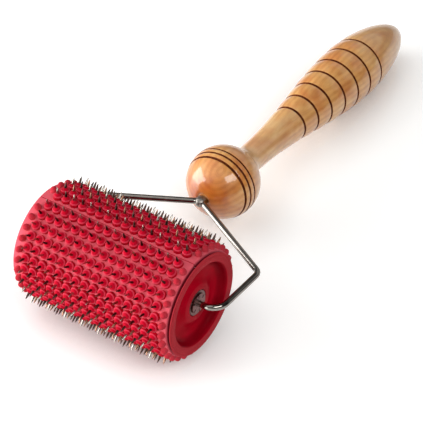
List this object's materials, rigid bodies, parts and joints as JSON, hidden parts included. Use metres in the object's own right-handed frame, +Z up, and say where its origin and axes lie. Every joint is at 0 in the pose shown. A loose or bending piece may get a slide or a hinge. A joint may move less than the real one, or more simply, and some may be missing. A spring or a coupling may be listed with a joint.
{
  "type": "needle massage roller",
  "caption": "Hand massage roller: a red rubber mat of studs and metal needles on a drum that turns on a bent wire fork with a turned wooden handle.",
  "frame": {"origin": "on the floor under the middle of the whole object's box, with the roller and the handle's barrel lying on the floor", "axes": "+X along the roller's axle, +Y from the roller towards the end of the handle, +Z up"},
  "size_m": [0.1122, 0.2964, 0.0674],
  "materials": {
    "lacquered_wood": "clear gloss lacquer on turned wood, burnt ring grooves",
    "steel_wire": "bright nickel-plated wire",
    "weld_metal": "lumpy weld under plating",
    "spring_steel": "dark blued spring steel",
    "drum_plastic": "extruded tube",
    "cap_plastic": "moulded, glossy in the dish and dull on the rim",
    "bush_metal": "zinc-plated pressed bush",
    "mat_rubber": "matt moulded rubber",
    "needle_metal": "drawn and ground needles"
  },
  "bodies": {
    "fork": {"handle": "lacquered_wood", "wire_frame": "steel_wire", "weld_bead": "weld_metal", "star_washer_left": "spring_steel", "star_washer_right": "spring_steel"},
    "roller": {"drum_tube": "drum_plastic", "end_cap_left": "cap_plastic", "end_cap_right": "cap_plastic", "bush_left": "bush_metal", "bush_right": "bush_metal", "rubber_mat": "mat_rubber", "needle_ring_1": "needle_metal", "needle_ring_2": "needle_metal", "needle_ring_3": "needle_metal", "needle_ring_4": "needle_metal", "needle_ring_5": "needle_metal", "needle_ring_6": "needle_metal", "needle_ring_7": "needle_metal", "needle_ring_8": "needle_metal", "needle_ring_9": "needle_metal", "needle_ring_10": "needle_metal", "needle_ring_11": "needle_metal", "needle_ring_12": "needle_metal", "needle_ring_13": "needle_metal", "needle_ring_14": "needle_metal", "needle_ring_15": "needle_metal", "needle_ring_16": "needle_metal"}
  },
  "joints": [
    {"name": "roller_spin", "type": "hinge", "parent": "fork", "child": "roller", "pos_m": [0, -0.11452, 0.03363], "axis": [1, 0, 0], "continuous": true}
  ]
}
